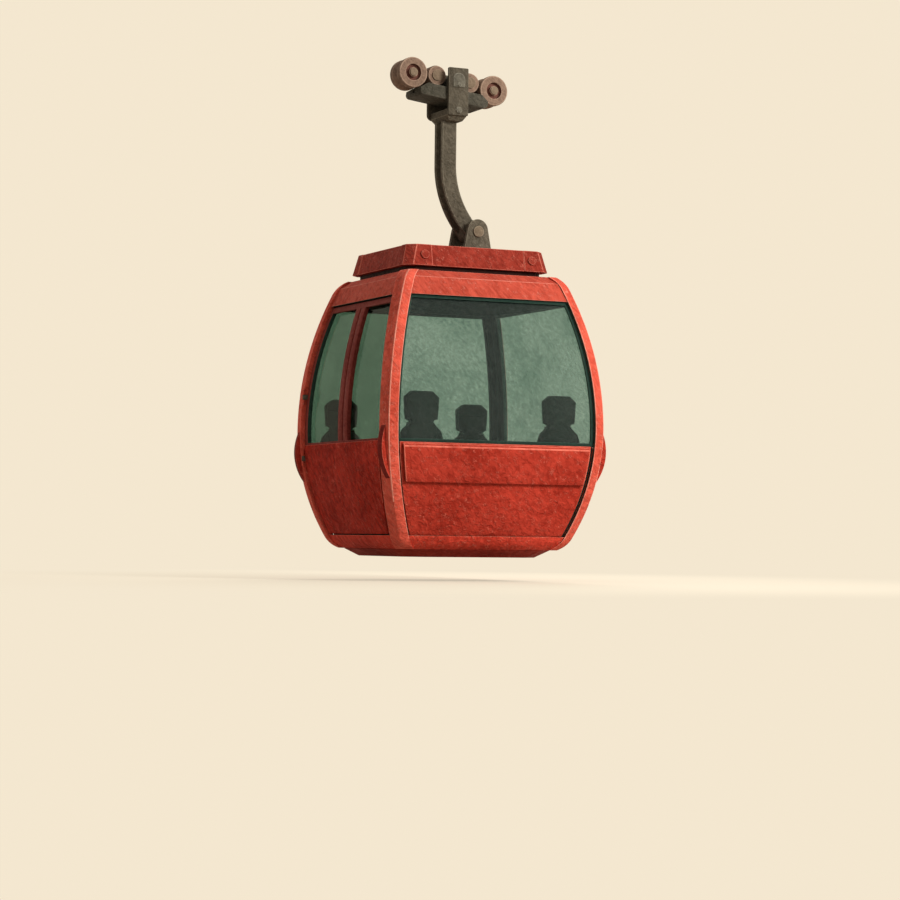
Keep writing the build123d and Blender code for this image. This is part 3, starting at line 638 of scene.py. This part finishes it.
def selectFaces(piece, towards):
    bpy.ops.object.mode_set(mode="EDIT")
    bpy.ops.mesh.select_mode(type="FACE")
    bpy.ops.mesh.select_all(action="DESELECT")
    bpy.ops.object.mode_set(mode="OBJECT")
    for polygon in piece.data.polygons:
        polygon.select = polygon.normal.dot(towards) > squareOn
    bpy.ops.object.mode_set(mode="EDIT")


def startPiece(name):
    piece = bpy.context.active_object
    piece.name = name
    bpy.ops.object.transform_apply(location=True, rotation=True, scale=True)
    return piece


def finishPiece(piece, finish, body, bevel=0.0):
    paintPiece(piece, finish, bevel)
    smoothPiece(piece, dressing["newSmoothAngle"])
    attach(piece, body)


def makeCapBolt(name, xSide, ySide):
    deselectAll()
    normal = Vector((0.0, ySide * math.cos(capBolt["lean"]), math.sin(capBolt["lean"])))
    place = Vector((cabinX + xSide * capBolt["x"], ySide * capBolt["faceY"], sillZ + capBolt["z"]))
    bpy.ops.mesh.primitive_cylinder_add(
        vertices=40, radius=capBolt["radius"], depth=2 * capBolt["height"], location=place,
        rotation=normal.to_track_quat("Z", "Y").to_euler(),
    )
    bolt = startPiece(name)
    selectFaces(bolt, normal)
    bpy.ops.mesh.inset(thickness=capBolt["step"])
    bpy.ops.mesh.inset(thickness=capBolt["step"], depth=capBolt["dome"])
    bpy.ops.object.mode_set(mode="OBJECT")
    finishPiece(bolt, "cap_red", "cabin", bevel=capBolt["bevel"])


lengthenCapPlates(bpy.data.objects["roof_cap_dressed"])
for xName, xSide in (("left", -1), ("right", 1)):
    for yName, ySide in (("front", -1), ("rear", 1)):
        makeCapBolt("cap_bolt_" + yName + "_" + xName, xSide, ySide)
print("cap plates and bolts made")


# Hexagonal bolts along both ends of the clevis's foot

clevisBolt = {
    "inset": 0.015, "y": (-0.135, 0.0, 0.135), "plate": 0.026, "radius": 0.0125, "height": 0.010,
    "step": 0.003, "crown": 0.002, "bevel": 0.001,
}


def makeClevisBolts():
    low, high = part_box("clevis")
    top = low.z + clevisBolt["plate"]
    bolts = []
    for x in (low.x + clevisBolt["inset"], high.x - clevisBolt["inset"]):
        for y in clevisBolt["y"]:
            deselectAll()
            bpy.ops.mesh.primitive_cylinder_add(
                vertices=6, radius=clevisBolt["radius"], depth=clevisBolt["height"],
                location=(x, y, top + clevisBolt["height"] / 2),
            )
            bolt = startPiece("clevis_bolts")
            selectFaces(bolt, up)
            bpy.ops.mesh.inset(thickness=clevisBolt["step"])
            bpy.ops.transform.translate(value=(0.0, 0.0, clevisBolt["crown"]))
            bpy.ops.object.mode_set(mode="OBJECT")
            bolts.append(bolt)
    pick(bolts[0])
    for bolt in bolts[1:]:
        bolt.select_set(True)
    bpy.ops.object.join()
    finishPiece(bolts[0], "bolt_green", "cabin", bevel=clevisBolt["bevel"])


makeClevisBolts()
print("clevis bolts made")


# The door closes against an angled rubber stop down the inside of each end post and a strip on the header

doorStop = {
    "cornerGap": 0.1327, "postFace": 0.0079, "footFar": -0.0455, "footNear": -0.0335,
    "flapOuter": 0.0384, "flapInner": 0.0484, "flapEdge": 0.0120, "short": 0.004, "onCorner": 0.0002,
    "bevel": 0.0035,
}


def doorEdgePath():
    points = {}
    for vertex in nodes["door_frame"].data.vertices:
        x, y = vertex.co.x - cabinX, vertex.co.y
        if y < 0 and abs(abs(x) - abs(y) - doorStop["cornerGap"]) < doorStop["onCorner"]:
            points[round(vertex.co.z, 3)] = vertex.co.copy()
    path = [points[height] for height in sorted(points)]
    path[0] = path[0].lerp(path[1], doorStop["short"] / (path[1] - path[0]).length)
    path[-1] = path[-1].lerp(path[-2], doorStop["short"] / (path[-1] - path[-2]).length)
    return path


def makeDoorStop(name):
    # the outline's places are counted from the leaf's outer corner: inwards, and towards the door's middle
    path = doorEdgePath()
    look = doorStop
    outline = (
        (look["postFace"], look["footFar"]), (look["postFace"], look["footNear"]),
        (look["flapOuter"], look["footNear"]), (look["flapOuter"], look["flapEdge"]),
        (look["flapInner"], look["flapEdge"]), (look["flapInner"], look["footFar"]),
    )
    deselectAll()
    bpy.ops.mesh.primitive_circle_add(vertices=len(outline), fill_type="NGON", location=path[0])
    stop = startPiece(name)
    for vertex, (inward, along) in zip(stop.data.vertices, outline):
        vertex.co = path[0] + Vector((inward, along, 0.0))
    bpy.ops.object.mode_set(mode="EDIT")
    bpy.ops.mesh.select_mode(type="FACE")
    bpy.ops.mesh.select_all(action="SELECT")
    for here, there in zip(path, path[1:]):
        bpy.ops.mesh.extrude_region_move(TRANSFORM_OT_translate={"value": there - here})
    bpy.ops.mesh.select_all(action="SELECT")
    bpy.ops.mesh.normals_make_consistent(inside=False)
    bpy.ops.object.mode_set(mode="OBJECT")
    return stop


topStop = {
    "halfY": 0.640, "lap": 0.013, "height": 0.040, "thick": 0.010, "lean": 0.010,
    "leaf": 0.034, "clear": 0.016,
}


def makeTopStop():
    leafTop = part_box("door_frame")[1].z
    leafX = doorEdgePath()[-1].x + topStop["leaf"]
    middleX = leafX + topStop["clear"] + topStop["thick"] / 2
    middleZ = leafTop - topStop["lap"] + topStop["height"] / 2
    deselectAll()
    bpy.ops.mesh.primitive_cube_add(
        size=1.0, location=(middleX, 0.0, middleZ),
        scale=(topStop["thick"], 2 * topStop["halfY"], topStop["height"]),
    )
    stop = startPiece("door_stop_top")
    selectFaces(stop, -up)
    bpy.ops.transform.translate(value=(-topStop["lean"], 0.0, 0.0))
    bpy.ops.object.mode_set(mode="OBJECT")
    return stop


def mirrorPiece(piece, name, xFlip, yFlip):
    pick(piece)
    bpy.ops.object.duplicate()
    twin = bpy.context.active_object
    twin.name = name
    for vertex in twin.data.vertices:
        if xFlip:
            vertex.co.x = 2 * cabinX - vertex.co.x
        if yFlip:
            vertex.co.y = -vertex.co.y
    if xFlip != yFlip:
        twin.data.flip_normals()
    return twin


frontStop = makeDoorStop("door_stop_front")
rearStop = mirrorPiece(frontStop, "door_stop_rear", False, True)
for stop in (frontStop, rearStop, makeTopStop()):
    finishPiece(stop, "window_frame", "cabin", bevel=doorStop["bevel"])
print("door stops made")


# A ribbed mat on the floor between the seats

mat = {
    "halfX": 0.60, "halfY": 0.335, "thick": 0.005,
    "rib": 0.0035, "ribGap": 0.030, "ribShort": 0.04, "sunk": 0.0005,
}


def makeMat():
    deselectAll()
    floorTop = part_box("bench_front")[0].z
    matTop = floorTop + mat["thick"]
    bpy.ops.mesh.primitive_cube_add(
        size=1.0, location=(cabinX, 0.0, floorTop + mat["thick"] / 2),
        scale=(2 * mat["halfX"], 2 * mat["halfY"], mat["thick"]),
    )
    base = startPiece("floor_mat")
    deselectAll()
    bpy.ops.mesh.primitive_cylinder_add(
        vertices=8, radius=mat["rib"], depth=2 * mat["halfX"] - mat["ribShort"],
        location=(cabinX, -mat["halfY"] + mat["ribGap"], matTop - mat["sunk"]),
        rotation=(0.0, math.radians(90.0), 0.0),
    )
    ribs = startPiece("floor_mat_ribs")
    applyModifier(
        ribs, "ARRAY", count=int((2 * mat["halfY"] - mat["ribGap"]) / mat["ribGap"]),
        use_relative_offset=False, use_constant_offset=True,
        constant_offset_displace=(0.0, mat["ribGap"], 0.0),
    )
    pick(base)
    ribs.select_set(True)
    bpy.ops.object.join()
    finishPiece(base, "inner_trim", "cabin")


makeMat()
print("mat made")


# Seats: one backrest and one cushion are swollen, sewn and piped, then mirrored into the four corners

seatShape = {
    "voxel": 0.009, "shrink": 0.014, "pressure": 4.0, "frames": 20, "swell": 0.013,
    "pipe": 0.0045, "pipeStep": 0.010, "pipeSunk": 0.001, "pipeEasing": 3,
    "grooveWidth": 0.0055, "grooveDepth": 0.0075, "grooveFacing": 0.35, "bolster": 0.122, "clearance": 0.001,
}
backShape = {
    "widths": (  # height over the sill, share of the solid's width
        (0.500, 0.93), (0.780, 0.93), (0.884, 0.74), (0.887, 1.40), (0.924, 1.40), (0.946, 0.93),
        (1.020, 0.96), (1.160, 0.96), (1.230, 0.96),
    ),
    "raised": (  # the solid's height, the cover's height
        (0.500, 0.500), (0.780, 0.850), (0.884, 0.968), (0.946, 1.008), (1.230, 1.230),
    ),
    "channels": (0.600, 0.690, 0.780), "headChannel": 1.118, "shoulder": 0.945, "head": 1.000,
}
cushionShape = {"channels": (0.500, 0.610, 0.720)}


def readRows(rows, height):
    for (lowAt, lowValue), (highAt, highValue) in zip(rows, rows[1:]):
        if height <= highAt:
            along = max(0.0, (height - lowAt) / (highAt - lowAt))
            return lowValue + along * (highValue - lowValue)
    return rows[-1][1]


def shrunk(point, low, high, tall):
    middle = (low + high) / 2
    size = high - low
    share = [1.0 - 2 * seatShape["shrink"] / side for side in size]
    share[2] = 1.0 - seatShape["shrink"] / size.z
    if tall:
        height = point.z - sillZ
        share[0] = readRows(backShape["widths"], height)
        point = Vector((point.x, point.y, sillZ + readRows(backShape["raised"], height)))
    return Vector([middle[i] + (point[i] - middle[i]) * share[i] for i in range(3)])


def seatOutline(piece, facing):
    face = max(piece.data.polygons, key=lambda polygon: polygon.normal.dot(facing) * polygon.area)
    corner = [piece.data.vertices[index].co.copy() for index in face.vertices]
    path = []
    for start, end in zip(corner, corner[1:] + corner[:1]):
        steps = max(1, round((end - start).length / seatShape["pipeStep"]))
        path += [start.lerp(end, step / steps) for step in range(steps)]
    return path


def swell(pad):
    rest = [vertex.co.copy() for vertex in pad.data.vertices]
    pick(pad)
    cloth = pad.modifiers.new("cloth", "CLOTH")
    cloth.settings.use_pressure = True
    cloth.settings.uniform_pressure_force = seatShape["pressure"]
    cloth.settings.effector_weights.gravity = 0.0
    scene = bpy.context.scene
    for step in range(1, seatShape["frames"] + 1):
        scene.frame_set(step)
    bpy.ops.object.modifier_apply(modifier="cloth")
    scene.frame_set(1)
    for vertex, place in zip(pad.data.vertices, rest):
        moved = vertex.co - place
        if moved.length > seatShape["swell"]:
            vertex.co = place + moved.normalized() * seatShape["swell"]


def sewChannels(pad, facing, lines):
    width = seatShape["grooveWidth"]
    for vertex in pad.data.vertices:
        if vertex.normal.dot(facing) < seatShape["grooveFacing"]:
            continue
        depth = 0.0
        for distance in lines(vertex.co):
            depth = max(depth, math.exp(-(distance / width) ** 2))
        vertex.co -= facing * seatShape["grooveDepth"] * depth


def keepInside(pad, low, high):
    gap = seatShape["clearance"]
    for vertex in pad.data.vertices:
        for axis in range(3):
            vertex.co[axis] = min(max(vertex.co[axis], low[axis] + gap), high[axis] - gap)


def makePad(node, facing, lines, tall):
    low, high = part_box(node)
    pad = copyNode(node, node + "_pad")
    path = [shrunk(point, low, high, tall) for point in seatOutline(pad, facing)]
    applyModifier(pad, "REMESH", mode="VOXEL", voxel_size=seatShape["voxel"], use_smooth_shade=True)
    for vertex in pad.data.vertices:
        vertex.co = shrunk(vertex.co, low, high, tall)
    swell(pad)
    keepInside(pad, low, high)
    applyModifier(pad, "SUBSURF", levels=1, render_levels=1)
    sewChannels(pad, facing, lines)
    pad.data.materials.clear()
    pad.data.materials.append(materials["seat_soft"])
    pick(pad)
    bpy.ops.object.shade_smooth()
    return pad, makePiping(pad, node + "_piping", path)


def makePiping(pad, name, path):
    for _ in range(seatShape["pipeEasing"]):
        path = [(path[i - 1] + 2 * path[i] + path[(i + 1) % len(path)]) / 4 for i in range(len(path))]
    middle = sum(path, Vector()) / len(path)
    deselectAll()
    curve = bpy.data.curves.new(name, "CURVE")
    curve.dimensions = "3D"
    curve.bevel_depth = seatShape["pipe"]
    curve.bevel_resolution = 2
    spline = curve.splines.new("POLY")
    spline.points.add(len(path) - 1)
    spline.use_cyclic_u = True
    for point, place in zip(spline.points, path):
        on = pad.closest_point_on_mesh(place)[1]
        inward = (middle - on).normalized() * seatShape["pipeSunk"]
        point.co = (*(on + inward), 1.0)
    piping = bpy.data.objects.new(name, curve)
    bpy.context.scene.collection.objects.link(piping)
    pick(piping)
    bpy.ops.object.convert(target="MESH")
    piping = bpy.context.active_object
    piping.data.materials.clear()
    piping.data.materials.append(materials["seat_piping"])
    bpy.ops.object.shade_smooth()
    return piping


def setSeat(pad, piping, node):
    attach(pad, "cabin")
    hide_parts(node)
    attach(piping, "cabin")


modelCorner = "rear_right"
seatMiddle = sum(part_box("seat_back_" + modelCorner), Vector()).x / 2


def sewnLines(place, along, levels):
    away = abs(place.x - seatMiddle)
    across = [abs(along - level) for level in levels] if away < seatShape["bolster"] else []
    return [abs(away - seatShape["bolster"])] + across


def backLines(place):
    height = place.z - sillZ
    if height > backShape["head"]:
        return [abs(height - backShape["headChannel"])]
    if height > backShape["shoulder"]:
        return []
    return sewnLines(place, height, backShape["channels"])


def cushionLines(place):
    return sewnLines(place, place.y, cushionShape["channels"])


def makeSeats():
    seatKinds = (
        ("seat_back_", Vector((0.0, -1.0, 0.0)), backLines, True),
        ("seat_cushion_", up, cushionLines, False),
    )
    for kind, facing, lines, tall in seatKinds:
        pad, piping = makePad(kind + modelCorner, facing, lines, tall)
        for corner in corners:
            node = kind + corner
            if corner == modelCorner:
                setSeat(pad, piping, node)
                continue
            flips = ("left" in corner, "front" in corner)
            twinPad = mirrorPiece(pad, node + "_pad", *flips)
            twinPiping = mirrorPiece(piping, node + "_piping", *flips)
            setSeat(twinPad, twinPiping, node)
        print(kind + "pads made,", len(pad.data.polygons), "faces each")


makeSeats()


# Floor, lamps, background and camera

studio = {
    "floorDrop": 0.25, "floorSize": 400.0, "floorRough": 0.9, "paper": (0.905, 0.800, 0.630),
    "fadeFrom": 1.5, "fadeTo": 6.0, "nearGlow": 0.60, "bounce": (0.42, 0.37, 0.30),
    "ambient": 0.50, "ambientTint": (1.0, 0.97, 0.93), "aimHeight": 1.2,
    "key": {"place": (3.6, -9.1, 4.4), "size": 3.2, "power": 980.0},
    "back": {"place": (5.0, 8.0, 5.0), "size": 6.0, "power": 900.0},
}
photoCamera = {
    "place": (-8.5447, -18.2834, 0.090), "yaw": -25.118, "pitch": 2.0006, "roll": 0.64,
    "lens": 100.63, "sensor": 36.0, "farthest": 500.0,
}
cabinOrigin = Vector((cabinX, 0.0, sillZ))


def seenDirectly(tree):
    path = addNode(tree, "ShaderNodeLightPath").outputs
    seen = addMath(tree, "MAXIMUM", path["Is Camera Ray"], path["Is Glossy Ray"])
    return addMath(tree, "MAXIMUM", seen, path["Is Transmission Ray"])


def makeFloor():
    middle = cabinOrigin - up * studio["floorDrop"]
    bpy.ops.mesh.primitive_plane_add(size=studio["floorSize"], location=middle)
    floor = bpy.context.active_object
    floor.name = "studio_floor"
    material, tree, shader, place = startMaterial("studio_floor")
    paper = (*studio["paper"], 1.0)
    direct = seenDirectly(tree)
    tree.links.new(addMix(tree, direct, (*studio["bounce"], 1.0), paper), shader.inputs["Base Color"])
    shader.inputs["Roughness"].default_value = studio["floorRough"]
    shader.inputs["Specular IOR Level"].default_value = 0.0
    glow = addNode(tree, "ShaderNodeEmission", {"Color": paper, "Strength": 1.0})
    away = addNode(tree, "ShaderNodeVectorMath", {0: place}, operation="LENGTH").outputs["Value"]
    fade = addRange(tree, away, studio["fadeFrom"], studio["fadeTo"], studio["nearGlow"], 1.0)
    share = addMath(tree, "MULTIPLY", fade, direct)
    mixed = addNode(tree, "ShaderNodeMixShader", {0: share, 1: shader.outputs[0], 2: glow.outputs[0]})
    tree.links.new(mixed.outputs[0], tree.nodes["Material Output"].inputs["Surface"])
    floor.data.materials.append(material)


def makeBackground():
    world = bpy.data.worlds.new("studio")
    bpy.context.scene.world = world
    world.use_nodes = True
    tree = world.node_tree
    tree.nodes.clear()
    direct = seenDirectly(tree)
    tint = (*studio["ambientTint"], 1.0)
    light = addNode(tree, "ShaderNodeBackground", {"Color": tint, "Strength": studio["ambient"]})
    paper = addNode(tree, "ShaderNodeBackground", {"Color": (*studio["paper"], 1.0), "Strength": 1.0})
    mixed = addNode(tree, "ShaderNodeMixShader", {0: direct, 1: light.outputs[0], 2: paper.outputs[0]})
    out = addNode(tree, "ShaderNodeOutputWorld")
    tree.links.new(mixed.outputs[0], out.inputs["Surface"])


def addLamp(name, lamp):
    place = cabinOrigin + up * studio["aimHeight"] + Vector(lamp["place"])
    bpy.ops.object.light_add(type="AREA", location=place)
    light = bpy.context.active_object
    light.name = name
    light.data.size = lamp["size"]
    light.data.energy = lamp["power"]
    light.rotation_euler = Vector(lamp["place"]).to_track_quat("Z", "Y").to_euler()
    light.visible_glossy = False
    light.visible_transmission = False


def makeCamera():
    turn = Matrix.Rotation(math.radians(photoCamera["yaw"]), 4, "Z")
    tip = Matrix.Rotation(math.radians(90.0 + photoCamera["pitch"]), 4, "X")
    roll = Matrix.Rotation(math.radians(photoCamera["roll"]), 4, "Z")
    bpy.ops.object.camera_add()
    camera = bpy.context.active_object
    camera.name = "photo_camera"
    move = Matrix.Translation(cabinOrigin + Vector(photoCamera["place"]))
    camera.matrix_world = move @ turn @ tip @ roll
    camera.data.lens = photoCamera["lens"]
    camera.data.sensor_width = photoCamera["sensor"]
    camera.data.clip_end = photoCamera["farthest"]
    bpy.context.scene.camera = camera


makeFloor()
makeBackground()
addLamp("key_lamp", studio["key"])
addLamp("back_lamp", studio["back"])
makeCamera()
bpy.context.scene.view_settings.view_transform = "Standard"
print("studio ready")
